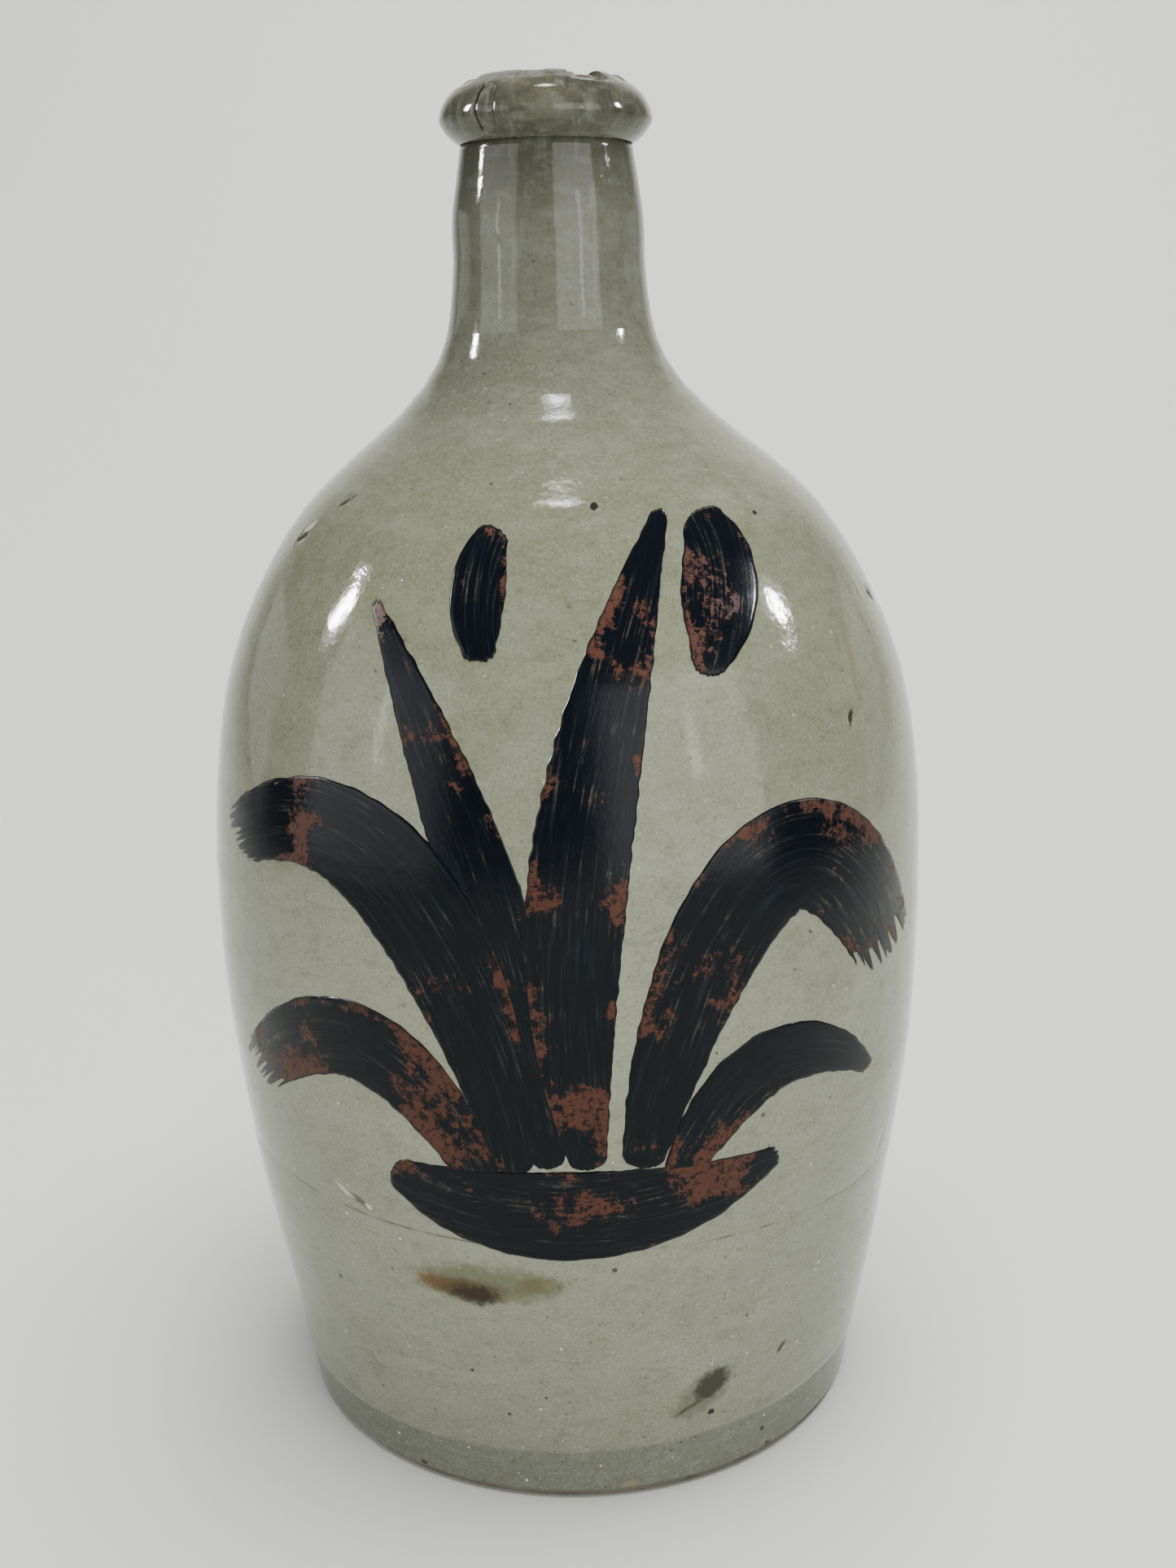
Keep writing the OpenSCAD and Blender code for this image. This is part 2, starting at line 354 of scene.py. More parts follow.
class Recipe:
    def __init__(self, name):
        self.material = bpy.data.materials.new(name)
        self.material.use_nodes = True
        self.tree = self.material.node_tree
        self.tree.nodes.clear()
        self.shader = self.add("ShaderNodeBsdfPrincipled")
        output = self.add("ShaderNodeOutputMaterial")
        self.tree.links.new(self.shader.outputs[0], output.inputs["Surface"])
        self.place = self.add("ShaderNodeTexCoord").outputs["Object"]

    def add(self, kind, **settings):
        return addNode(self.tree, kind, **settings)

    def maths(self, operation, *values):
        return maths(self.tree, operation, *values)

    def attribute(self, name):
        return self.add("ShaderNodeAttribute", attribute_name=name).outputs["Fac"]

    # the place on the pot, across, in depth and up
    def parts(self):
        node = self.add("ShaderNodeSeparateXYZ")
        self.tree.links.new(self.place, node.inputs[0])
        return node.outputs

    # the place on the pot, stretched, shifted or turned
    def mapped(self, scale=(1, 1, 1), shift=(0, 0, 0), source=None, turn=(0, 0, 0)):
        node = self.add("ShaderNodeMapping")
        self.tree.links.new(source or self.place, node.inputs["Vector"])
        node.inputs["Scale"].default_value = scale
        node.inputs["Location"].default_value = shift
        node.inputs["Rotation"].default_value = turn
        return node.outputs[0]

    # noise whose features are about size millimetres across
    def noise(self, size, detail=2.0, rough=0.5, source=None):
        node = self.add("ShaderNodeTexNoise")
        self.tree.links.new(source or self.place, node.inputs["Vector"])
        node.inputs["Scale"].default_value = 1 / (size * mm)
        node.inputs["Detail"].default_value = detail
        node.inputs["Roughness"].default_value = rough
        return node.outputs[0]

    # round specks: cells about spacing millimetres apart, a share of them filled
    def specks(self, spacing, share, radius):
        node = self.add("ShaderNodeTexVoronoi")
        self.tree.links.new(self.place, node.inputs["Vector"])
        node.inputs["Scale"].default_value = 1 / (spacing * mm)
        chance = self.add("ShaderNodeSeparateColor")
        self.tree.links.new(node.outputs["Color"], chance.inputs[0])
        chosen = self.maths("LESS_THAN", chance.outputs[0], share)
        size = self.maths("MULTIPLY_ADD", chance.outputs[1], radius * 0.6, radius * 0.5)
        near = self.span(node.outputs["Distance"], size, self.maths("MULTIPLY", size, 0.6))
        return self.maths("MULTIPLY", chosen, near)

    # 0 at low, 1 at high, whichever is larger
    def span(self, value, low, high):
        node = self.add("ShaderNodeMapRange", interpolation_type="SMOOTHSTEP")
        return feed(self.tree, node, value, low, high, 0.0, 1.0)

    # how far a place is from the middle of a slanted oval on the pot, 1 at its rim
    def oval(self, mark):
        node = self.add("ShaderNodeMapping", vector_type="TEXTURE")
        self.tree.links.new(self.place, node.inputs["Vector"])
        turn = math.radians(mark["turn"])
        node.inputs["Location"].default_value = (
            mark["radius"] * mm * math.sin(turn),
            -mark["radius"] * mm * math.cos(turn),
            mark["height"] * mm,
        )
        node.inputs["Rotation"].default_value = (0, math.radians(-mark["slant"]), turn)
        node.inputs["Scale"].default_value = (
            mark["long"] * mm / 2, max(mark["long"], 12) * mm, mark["wide"] * mm / 2
        )
        return feed(self.tree, self.add("ShaderNodeVectorMath", operation="LENGTH"),
                    node.outputs[0])

    # a patch of stain, painted shadow or painted highlight: full in the middle, ragged towards its rim
    def stainOrShadePatch(self, mark):
        ragged = mark["ragged"]
        patchy = self.noise(mark["grain"], 4, 0.65)
        stray = self.maths("MULTIPLY_ADD", patchy, 2 * ragged, -ragged)
        outwards = self.maths("ADD", self.oval(mark), stray)
        return self.maths("SUBTRACT", 1.0, self.span(outwards, 1 - ragged, 1.0))

    def ramp(self, value, stops):
        node = self.add("ShaderNodeValToRGB")
        self.tree.links.new(value, node.inputs[0])
        marks = node.color_ramp.elements
        while len(marks) < len(stops):
            marks.new(0.5)
        for mark, (position, colour) in zip(marks, stops):
            mark.position = position
            mark.color = (*linear(colour), 1)
        return node.outputs[0]

    def mix(self, share, first, second):
        node = self.add("ShaderNodeMix", data_type="RGBA")
        for socket, value in ((node.inputs[0], share), (node.inputs[6], first),
                              (node.inputs[7], second)):
            if isinstance(value, bpy.types.NodeSocket):
                self.tree.links.new(value, socket)
            elif isinstance(value, tuple):
                socket.default_value = (*linear(value), 1)
            else:
                socket.default_value = value
        return node.outputs[2]

    # a colour laid over the base, as strong as share and strength together
    def tint(self, base, share, strength, colour):
        return self.mix(self.maths("MULTIPLY", share, strength), base, colour)

    def bump(self, height, depth, strength=1.0, under=None):
        node = self.add("ShaderNodeBump")
        self.tree.links.new(height, node.inputs["Height"])
        node.inputs["Distance"].default_value = depth * mm
        node.inputs["Strength"].default_value = strength
        if under:
            self.tree.links.new(under, node.inputs["Normal"])
        return node.outputs[0]

    def finish(self, **sockets):
        for name, value in sockets.items():
            socket = self.shader.inputs[name.replace("_", " ")]
            if isinstance(value, bpy.types.NodeSocket):
                self.tree.links.new(value, socket)
            elif isinstance(value, tuple):
                socket.default_value = (*linear(value), 1)
            else:
                socket.default_value = value
        return self.material


# A colour written 0 to 255 as on a screen, as the shader's own values.
def linear(colour):
    shares = [c / 255 for c in colour]
    return [c / 12.92 if c <= 0.04045 else ((c + 0.055) / 1.055) ** 2.4 for c in shares]


# The join of two thrown sections: a shallow groove, and a fine line that wavers along it.
seamLine = {
    "height": 59.6,
    "tilt": -0.042,
    "width": 0.8,
    "depth": 0.16,
    "waver": 0.45,
    "lineRim": 0.32,
    "lineCore": 0.1,
}
# The glaze: its colours from the foot to the rim by share of the height, paler low down
# partly as painted reflection of the pale floor, the colours laid over them, and its specks
# by spacing, share of places filled, size, colour and strength.
glaze = {
    "byHeightWithReflection": (
        (0.00, (110, 112, 98)),
        (0.05, (118, 120, 104)),
        (0.16, (124, 127, 110)),
        (0.38, (136, 139, 120)),
        (0.56, (122, 125, 104)),
        (0.70, (109, 111, 91)),
        (0.80, (101, 103, 87)),
        (0.90, (100, 102, 90)),
        (0.96, (72, 73, 63)),
        (1.00, (56, 56, 48)),
    ),
    "olive": (108, 108, 82),
    "milky": (138, 143, 132),
    # the foot band's darker tone: partly painted shade under the step's overhang, partly thicker glaze
    # pooled there
    "foot": (98, 101, 90),
    "mottle": (92, 90, 74),
    "darkSpeck": (44, 42, 34),
    "paleSpeck": (196, 197, 178),
    "tan": (92, 86, 68),
    "crack": (34, 31, 24),
    "roughness": 0.045,
    "ior": 1.31,
    "specks": (
        (1.5, 0.35, 0.19, "paleSpeck", 0.3),
        (3.6, 0.4, 0.11, "paleSpeck", 0.9),
        (2.5, 0.35, 0.13, "darkSpeck", 0.65),
        (6.8, 0.42, 0.09, "darkSpeck", 1.0),
    ),
    "wipedEdge": (2.2, 0.4),
}
# Stains and small marks on the glaze, among them painted shadows in dents and a painted
# highlight on a dent's rim. A mark is an oval, long and wide, whose slant is up to the
# right. Radius is the pot's own at that height, share is how strong the mark is, ragged is
# how far its rim strays and grain is the size of the patches it breaks up into.
stainAndShadeParts = ("turn", "height", "radius", "long", "wide", "slant", "colour", "share", "ragged", "grain")
stainsAndDentShading = (
    (-13.5, 51.2, 68, 34, 11, 1, (86, 85, 60), 0.75, 0.5, 3.4),
    (-22, 50.0, 68, 11, 4.4, -6, (112, 82, 42), 0.7, 0.5, 1.8),
    (-17.5, 49.6, 68, 22, 6.4, -2, (74, 57, 27), 0.75, 0.5, 2.2),
    (-16, 48.6, 68, 13, 6.4, -4, (38, 25, 10), 0.95, 0.65, 1.8),
    (-5, 51.6, 68, 12, 5, 5, (84, 80, 48), 0.6, 0.5, 2),
    (22.5, 22.6, 63, 18, 11, 40, (80, 82, 66), 0.6, 0.5, 2.2),
    (24, 24.2, 63, 11, 7.2, 45, (36, 37, 26), 0.9, 0.5, 1.4),
    (38.5, 27.1, 64, 3.6, 1.7, 55, (60, 48, 38), 0.9, 0.4, 0.6),
    (7, 190, 47, 1.8, 1.4, 20, (38, 36, 32), 1.0, 0.3, 0.6),
    (44.3, 187.3, 49, 1.2, 0.8, 0, (44, 42, 36), 1.0, 0.3, 0.6),
    (53, 160, 65, 19, 3.4, 78, (112, 102, 72), 0.5, 0.7, 2.5),
    (9.9, 2.8, 60, 4.5, 1.8, 8, (128, 116, 94), 0.8, 0.45, 0.8),
    (39.4, 2.4, 60, 2.2, 1.2, -10, (52, 46, 38), 0.9, 0.4, 0.6),
    (-31.1, 2.4, 60, 2.0, 1.2, 10, (52, 46, 38), 0.9, 0.4, 0.6),
    # painted shadows in the shoulder dents, with a painted highlight along the first one's rim
    (-64, 183.2, 52, 6.5, 1.9, 30, (52, 48, 34), 0.95, 0.4, 1.1),
    (-64, 184.6, 52, 5.5, 1.4, 30, (196, 196, 176), 0.75, 0.4, 1.0),
    (-55.3, 189.7, 48, 5.2, 1.3, 32, (56, 52, 38), 0.9, 0.4, 1.0),
    (74.3, 169.6, 60, 5.5, 2.4, -35, (52, 48, 34), 0.95, 0.4, 0.9),
    (49, 151.4, 67, 4.6, 1.5, 60, (48, 44, 32), 0.95, 0.5, 0.9),
    (-34.9, 63.8, 69, 8.5, 1.9, -18, (76, 76, 60), 0.85, 0.6, 1.1),
    (-37.5, 65.0, 69, 6, 1.3, -32, (198, 199, 182), 0.6, 0.6, 1.3),
    (-33, 63.2, 69, 2.4, 1.3, -10, (212, 212, 196), 0.75, 0.5, 0.9),
    (20, 19.6, 62.5, 8.5, 1.4, 25, (60, 58, 44), 0.85, 0.6, 1.3),
    (24.5, 17.2, 62.5, 1.8, 1.5, 0, (34, 32, 26), 1.0, 0.3, 0.6),
    (78, 258, 20, 9, 12, 0, (118, 98, 66), 0.4, 0.6, 3),
    (-78, 258, 20, 9, 12, 0, (112, 98, 70), 0.35, 0.6, 3),
    (150, 96, 72, 15, 5, 60, (96, 86, 54), 0.5, 0.6, 2.4),
    (-140, 168, 62, 7, 4, 20, (74, 62, 40), 0.6, 0.6, 1.6),
)


def glazeMaterial(name, colours):
    r = Recipe(name)
    spot = r.parts()
    share = r.maths("DIVIDE", spot["Z"], cadBounds[1][2])
    drift = r.maths("MULTIPLY_ADD", r.noise(45, 3), 0.16, -0.08)
    # colours by height; the paler lower body is partly painted reflection of the floor
    base = r.ramp(r.maths("ADD", share, drift), colours["byHeightWithReflection"])
    # thick and thin places: broad clouds, then throwing bands
    patches = r.span(r.noise(24, 5, 0.62), 0.5, 0.7)
    base = r.tint(base, patches, 0.42, colours["olive"])
    milk = r.span(r.noise(18, 4, 0.6, r.mapped((1, 1, 1.5), (3, 1, 7))), 0.5, 0.74)
    base = r.tint(base, milk, 0.22, colours["milky"])
    bands = r.span(r.noise(9, 3, 0.6, r.mapped((0.25, 0.25, 1), (0, 4, 2))), 0.45, 0.75)
    base = r.tint(base, bands, 0.07, colours["paleSpeck"])
    # darker foot band: painted shade where the band faces down under the step, with thicker glaze
    # pooled there
    base = r.tint(base, r.attribute("band"), 0.8, colours["foot"])
    edgeTop, edgeFull = colours["wipedEdge"]
    base = r.tint(base, r.span(spot["Z"], edgeTop * mm, edgeFull * mm), 0.6, colours["mottle"])
    base = neckRuns(r, base, share, colours)
    base, grain = sandAndScuffs(r, base, share, colours)
    base = seamOn(r, base, spot, colours)
    # stains, and painted shadows and highlights over the dents
    for row in stainsAndDentShading:
        mark = dict(zip(stainAndShadeParts, row))
        base = r.tint(base, r.stainOrShadePatch(mark), mark["share"], mark["colour"])
    bare = r.attribute("bare")
    base = r.mix(r.span(bare, 0.3, 0.7), base, colours["tan"])
    base = r.mix(r.span(r.attribute("crack"), 0.3, 0.8), base, colours["crack"])
    rough = r.maths("MULTIPLY_ADD", r.noise(14, 3), 0.05, colours["roughness"] - 0.02)
    rough = r.maths("ADD", rough, r.maths("MULTIPLY", r.span(grain, 0.6, 0.75), 0.03))
    rough = r.maths("ADD", rough, r.maths("MULTIPLY", bare, 0.5))
    peel = r.bump(r.noise(5.5, 3, 0.5), 0.11, 0.7)
    pits = r.bump(r.specks(2.6, 0.3, 0.16), -0.05, 0.8, peel)
    bumps = r.bump(r.noise(1.1, 3, 0.6), 0.03, 0.7, pits)
    return r.finish(Base_Color=base, Roughness=rough, Normal=bumps, IOR=colours["ior"])


# Runs of glaze down the neck and collar, dark ones and milky ones.
def neckRuns(r, base, share, colours):
    onNeck = r.span(share, 0.78, 0.9)
    dark = r.noise(1.1, 4, 0.7, r.mapped((1, 1, 0.12), (5, 5, 0)))
    base = r.tint(base, onNeck, r.maths("MULTIPLY", r.span(dark, 0.48, 0.66), 0.6),
                  colours["mottle"])
    pale = r.noise(2.4, 3, 0.6, r.mapped((1, 1, 0.12), (1, 9, 0)))
    return r.tint(base, onNeck, r.maths("MULTIPLY", r.span(pale, 0.52, 0.74), 0.3),
                  colours["milky"])


# Sand in the clay seen through the glaze, mottling, scuffs along the turning, short dark
# ticks and specks. Gives the base colour and the sand's own noise.
def sandAndScuffs(r, base, share, colours):
    grain = r.noise(0.6, 3, 0.75)
    belowNeck = r.span(share, 0.93, 0.74)
    paleGrain = r.maths("MULTIPLY", r.span(grain, 0.52, 0.7), belowNeck)
    base = r.tint(base, paleGrain, 0.16, colours["paleSpeck"])
    base = r.tint(base, r.span(grain, 0.48, 0.3), 0.32, colours["darkSpeck"])
    mottle = r.noise(4.5, 5, 0.7, r.mapped((1, 1, 1.8), (7, 2, 5)))
    base = r.tint(base, r.span(mottle, 0.5, 0.68), 0.32, colours["mottle"])
    base = r.tint(base, r.span(mottle, 0.5, 0.34), 0.16, colours["milky"])
    scuffs = r.noise(2.2, 5, 0.75, r.mapped((0.3, 0.3, 1), (2, 6, 1)))
    base = r.tint(base, r.span(scuffs, 0.6, 0.74), 0.42, colours["mottle"])
    askew = r.mapped(turn=(0.5, 0.7, 0.3))
    ticks = r.noise(1.3, 2, 0.5, r.mapped((1, 1, 0.45), (9, 3, 4), askew))
    base = r.tint(base, r.span(ticks, 0.735, 0.77), 0.7, colours["darkSpeck"])
    lowDown = r.maths("SUBTRACT", 1.02, share)
    for spacing, portion, size, colour, strength in colours["specks"]:
        dots = r.maths("MULTIPLY", r.specks(spacing, portion, size), strength)
        base = r.tint(base, dots, lowDown, colours[colour])
    return base, grain


# The fine broken line along the join of two thrown sections.
def seamOn(r, base, spot, colours):
    middle = r.maths("MULTIPLY_ADD", spot["X"], seamLine["tilt"], seamLine["height"] * mm)
    waver = seamLine["waver"] * mm
    height = r.maths("ADD", spot["Z"], r.maths("MULTIPLY_ADD", r.noise(9, 2), 2 * waver, -waver))
    off = r.maths("ABSOLUTE", r.maths("SUBTRACT", height, middle))
    line = r.span(off, seamLine["lineRim"] * mm, seamLine["lineCore"] * mm)
    broken = r.maths("MULTIPLY", line, r.span(r.noise(7, 3), 0.36, 0.6))
    return r.tint(base, broken, 0.6, colours["darkSpeck"])


clay = {
    "body": (98, 92, 80),
    "dark": (68, 63, 54),
    "roughness": 0.85,
}


def clayMaterial(name, colours):
    r = Recipe(name)
    base = r.mix(r.span(r.noise(9, 5, 0.7), 0.4, 0.7), colours["body"], colours["dark"])
    base = r.mix(r.specks(1.6, 0.3, 0.2), base, colours["dark"])
    grit = r.bump(r.noise(0.7, 4, 0.7), 0.12, 0.8)
    # rings left by the turning tool under the foot
    spot = r.parts()
    radius = r.maths("SQRT", r.maths(
        "ADD", r.maths("POWER", spot["X"], 2.0), r.maths("POWER", spot["Y"], 2.0)
    ))
    ringAt = feed(r.tree, r.add("ShaderNodeCombineXYZ"), radius, 0.0, spot["Z"])
    turned = r.bump(r.noise(1.8, 2, 0.5, ringAt), 0.3, 0.8, grit)
    return r.finish(Base_Color=base, Roughness=colours["roughness"], Normal=turned)


ink = {
    "black": (11, 15, 20),
    "sheen": (30, 37, 44),
    "dry": (86, 80, 64),
    "rust": (76, 47, 37),
    "rustDark": (26, 20, 20),
    "edge": (12, 13, 16),
    "ior": 1.21,
}


# The stroke's attributes along and across run down it and over it, and edge is the
# distance in from its rim, all in millimetres.
def inkMaterial(name, colours, seed):
    r = Recipe(name)
    along = r.attribute("along")
    across = r.attribute("across")
    edge = r.attribute("edge")
    lane = r.add("ShaderNodeCombineXYZ")
    laneAt = feed(r.tree, lane, r.maths("MULTIPLY", along, 0.045), across, float(seed))
    hairs = r.add("ShaderNodeTexNoise")
    r.tree.links.new(laneAt, hairs.inputs["Vector"])
    hairs.inputs["Scale"].default_value = 1.9
    hairs.inputs["Detail"].default_value = 4
    hairs.inputs["Roughness"].default_value = 0.65
    hair = hairs.outputs[0]
    away = r.mapped(shift=(seed * 0.13, 0, 0))
    region = r.noise(15, 2, 0.5, away)
    base = r.tint(colours["black"], r.span(hair, 0.5, 0.7), 0.55, colours["sheen"])
    patch = r.noise(2.2, 6, 0.78, away)
    thin = r.maths("MULTIPLY", r.span(hair, 0.54, 0.66), r.span(region, 0.42, 0.56))
    thin = r.maths("MULTIPLY", thin, r.span(patch, 0.42, 0.6))
    base = r.tint(base, thin, 0.7, colours["dry"])
    nearRim = r.maths("SUBTRACT", 1.0, r.span(edge, 0.2, 3.2))
    weight = r.maths("MULTIPLY_ADD", region, 0.7, r.maths("MULTIPLY", patch, 0.42))
    weight = r.maths("ADD", weight, r.maths("MULTIPLY", nearRim, 0.05))
    weight = r.maths("ADD", weight, r.maths("MULTIPLY", hair, 0.08))
    rusty = r.span(weight, 0.67, 0.7)
    rustTone = r.mix(r.span(r.noise(1.0, 4, 0.75), 0.5, 0.6), colours["rust"],
                     colours["rustDark"])
    base = r.mix(rusty, base, rustTone)
    outline = r.maths("SUBTRACT", 1.0, r.span(edge, 0.12, 0.45))
    base = r.tint(base, outline, 0.85, colours["edge"])
    rough = r.maths("MULTIPLY_ADD", rusty, 0.32, 0.13)
    relief = r.bump(hair, 0.04, 0.35)
    relief = r.bump(patch, 0.08, 0.4, relief)
    relief = r.bump(r.noise(0.6, 3, 0.6), 0.025, 0.5, relief)
    return r.finish(Base_Color=base, Roughness=rough, Normal=relief, IOR=colours["ior"])


# The glazed outside, turned again as a thin shell.
coat = {
    "thickness": 0.35,
    "crowding": 0.45,
    "ringDepth": 0.16,
    "ringSpacing": 6.5,
}
# each piece of the coat: columns round the pot, rows' spacing on the outside, and how
# few of them the inside keeps
coatPieces = {
    "glaze_foot": {"columns": 560, "row": 0.45, "keep": 3},
    "glaze_body": {"columns": 380, "row": 1.14, "keep": 8},
    "glaze_collar": {"columns": 720, "row": 0.24, "keep": 5},
}


def splitCoat():
    loop = readSection("glaze_coat")
    outer = loop[: int(np.argmin(loop[:, 0])) + 1]
    foot = outer[outer[:, 1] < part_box("foot_band")[1].z + 1e-5]
    neckTop = int(np.argmax(outer[:, 1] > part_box("neck_tube")[1].z - 1e-5))
    body = outer[len(foot) : neckTop + 1]
    return {
        "glaze_foot": np.concatenate([foot, body[:1]]),
        "glaze_body": body,
        "glaze_collar": outer[neckTop:],
    }


# Dents pressed or burst into the glaze: turn, height, length, width, slant and depth.
dents = (
    (-64, 183.4, 3.8, 2.0, 28, 0.7),
    (-55.3, 189.7, 2.6, 1.8, 30, 0.35),
    (74.3, 169.6, 3.2, 2.0, -35, 0.6),
    (49, 151.7, 4.0, 2.4, -50, 0.5),
    (-34.9, 63.8, 5.5, 3.2, -20, 0.45),
    (-30, 66.5, 9.0, 2.0, -25, 0.15),
    (20.5, 19.5, 5.0, 2.4, 15, 0.35),
    (62, 62, 8.0, 2.6, 55, 0.18),
    (66, 171, 2.0, 1.6, 0, 0.3),
    (130, 140, 5.0, 3.0, 30, 0.4),
    (-150, 84, 6.0, 2.4, -15, 0.35),
    (170, 40, 4.0, 2.6, 60, 0.4),
)
# A dent is ringed by a low ridge, placed by shares of the dent's half size.
dentShape = {"steepness": 1.6, "ridge": 0.3, "ridgeAt": 1.5, "ridgeSteepness": 4}
# The step above the foot band sits lower and slopes, the walls wander out of round, and
# the neck swells a little below its crease.
stepTilt = {"height": 11, "reach": 9, "drop": -0.5, "tilt": 0.02}
wobble = {"size": 34, "depth": 0.35, "bottom": 4, "top": 262, "fade": 20}
neckSwell = {"height": 240, "reach": 7, "depth": 0.75}
# The rim's rough wear, as sizes and depths of its grain, and how far it may go; the wear
# fades down to a band below the top, and is less inside the mouth.
rimWear = {
    "grain": ((1.6, 0.18, 8.0), (4, 0.12, 2.0)),
    "least": -0.1,
    "most": 0.3,
    "reach": 2.2,
    "fade": 1.6,
    "mouth": 11.2,
    "bareReach": 1.2,
    "bareFade": 0.5,
    "bareShare": 0.45,
}
# Bites out of the rim: turn, half their width in degrees and depth.
rimNotches = (
    (33, 11, 1.0), (21, 4, 0.45), (-66, 12, 0.5), (-80, 6, 0.4), (-8, 9, 0.15),
    (62, 8, 0.3), (120, 14, 0.4), (-150, 10, 0.5),
)
# Cracks in the collar as places across and up the front.
cracks = (
    {"path": ((-12.9, 261.9), (-13.6, 260.9), (-14.2, 259.5), (-14.5, 258.2), (-14.5, 257.2),
              (-14.2, 256.2), (-13.7, 255.2), (-13.3, 254.5)),
     "width": 0.24, "depth": 0.28, "dark": 1.0},
    {"path": ((-10.6, 261.6), (-10.8, 260.2), (-11.0, 258.6), (-11.2, 257.2), (-11.0, 255.8),
              (-10.7, 254.9)),
     "width": 0.15, "depth": 0.1, "dark": 0.62},
    {"path": ((-12.9, 261.9), (-12.0, 262.4), (-11.0, 262.3), (-10.6, 261.6)),
     "width": 0.14, "depth": 0.05, "dark": 0.45},
)


def distanceTo(path, x, z):
    nearest = np.full(len(x), 1e3)
    for a, b in zip(np.array(path, float), np.array(path[1:], float)):
        run = b - a
        t = np.clip(((x - a[0]) * run[0] + (z - a[1]) * run[1]) / (run @ run), 0, 1)
        gap = np.hypot(x - a[0] - t * run[0], z - a[1] - t * run[1])
        nearest = np.minimum(nearest, gap)
    return nearest


def smoothNoise(places, size, seed):
    scaled = places / (size * mm)
    return np.array([noise.noise(Vector((x + seed, y, z))) for x, y, z in scaled])


# How far each place is pushed out from the true turned surface, in millimetres, and how
# dark a crack is there.
def wearOn(places, name):
    turn, height = turnAndHeight(places)
    radius = np.hypot(places[:, 0], places[:, 1]) / mm
    out = wobble["depth"] * smoothNoise(places, wobble["size"], 3.0)
    out *= np.clip((height - wobble["bottom"]) / wobble["fade"], 0, 1)
    out *= np.clip((wobble["top"] - height) / wobble["fade"], 0, 1)
    aboveSwell = (height - neckSwell["height"]) / neckSwell["reach"]
    out += neckSwell["depth"] * np.exp(-(aboveSwell**2))
    crack = np.zeros(len(places))
    for at, high, length, width, slant, depth in dents:
        gapAcross = (turn - at + 180) % 360 - 180
        x = np.radians(gapAcross) * radius
        z = height - high
        slope = math.radians(slant)
        u = (x * math.cos(slope) + z * math.sin(slope)) / (length / 2)
        v = (z * math.cos(slope) - x * math.sin(slope)) / (width / 2)
        distance = np.hypot(u, v)
        out -= depth * np.exp(-(distance**2) * dentShape["steepness"])
        ridge = np.exp(-((distance - dentShape["ridgeAt"]) ** 2) * dentShape["ridgeSteepness"])
        out += depth * dentShape["ridge"] * ridge
    seamAt = seamLine["height"] + seamLine["tilt"] * places[:, 0] / mm
    out -= seamLine["depth"] * np.exp(-(((height - seamAt) / seamLine["width"]) ** 2))
    if name == "glaze_collar":
        x = places[:, 0] / mm + leanAt(264)
        front = places[:, 1] < 0
        for line in cracks:
            gap = distanceTo(line["path"], x, height)
            share = np.clip(1.3 - gap / line["width"], 0, 1) * front
            out -= line["depth"] * share
            crack = np.maximum(crack, share * line["dark"])
    return out, crack


def leanAt(height):
    return float(cubicThrough(np.array([height]), lean["heights"], lean["across"])[0])


# Lowers the rim where it is worn and chipped. Gives the share of bare clay at each place.
def notchRim(places, top):
    turn, height = turnAndHeight(places)
    rough = sum(
        depth * smoothNoise(places, size, seed) for size, depth, seed in rimWear["grain"]
    )
    drop = np.clip(rough, rimWear["least"], rimWear["most"])
    bare = np.zeros(len(places))
    for at, half, depth in rimNotches:
        gap = np.abs((turn - at + 180) % 360 - 180) / half
        bite = depth * np.clip((1.15 - gap) * 4, 0, 1) * (1 + 2 * rough)
        drop = np.maximum(drop, bite)
        bare = np.maximum(bare, np.clip((1.1 - gap) * 5, 0, 1) * (depth > 0.3))
    near = np.clip((height - (top - rimWear["reach"])) / rimWear["fade"], 0, 1)
    radius = np.hypot(places[:, 0], places[:, 1]) / mm
    outerHalf = np.clip((radius - rimWear["mouth"]) / 1.2, 0.25, 1)
    places[:, 2] -= drop * near * outerHalf * mm
    nearTop = np.clip((height - (top - rimWear["bareReach"])) / rimWear["bareFade"], 0, 1)
    return bare * nearTop * rimWear["bareShare"]


def wearPiece(piece, name):
    mesh = piece.data
    places = readPlaces(mesh)
    normals = np.empty(len(mesh.vertices) * 3, np.float32)
    mesh.vertices.foreach_get("normal", normals)
    out, crack = wearOn(places, name)
    bare = np.zeros(len(places))
    inside = np.zeros(len(places), bool)
    inside[insideOf(places, name)] = True
    normals = normals.reshape(-1, 3) * np.where(inside, -1, 1)[:, None]
    if name == "glaze_collar":
        bare = notchRim(places, cadBounds[1][2] / mm)
    places += normals * (out * mm)[:, None]
    near = np.exp(-(((places[:, 2] / mm - stepTilt["height"]) / stepTilt["reach"]) ** 2))
    places[:, 2] += near * (stepTilt["drop"] + stepTilt["tilt"] * places[:, 0] / mm) * mm
    writePlaces(mesh, leanOver(places))
    writeValues(mesh, "crack", np.where(inside, 0, crack))
    writeValues(mesh, "bare", np.where(inside, 0, bare))
    # marks the foot piece for the foot band's darker tone, partly painted shade
    writeValues(mesh, "band", np.full(len(places), float(name == "glaze_foot")))


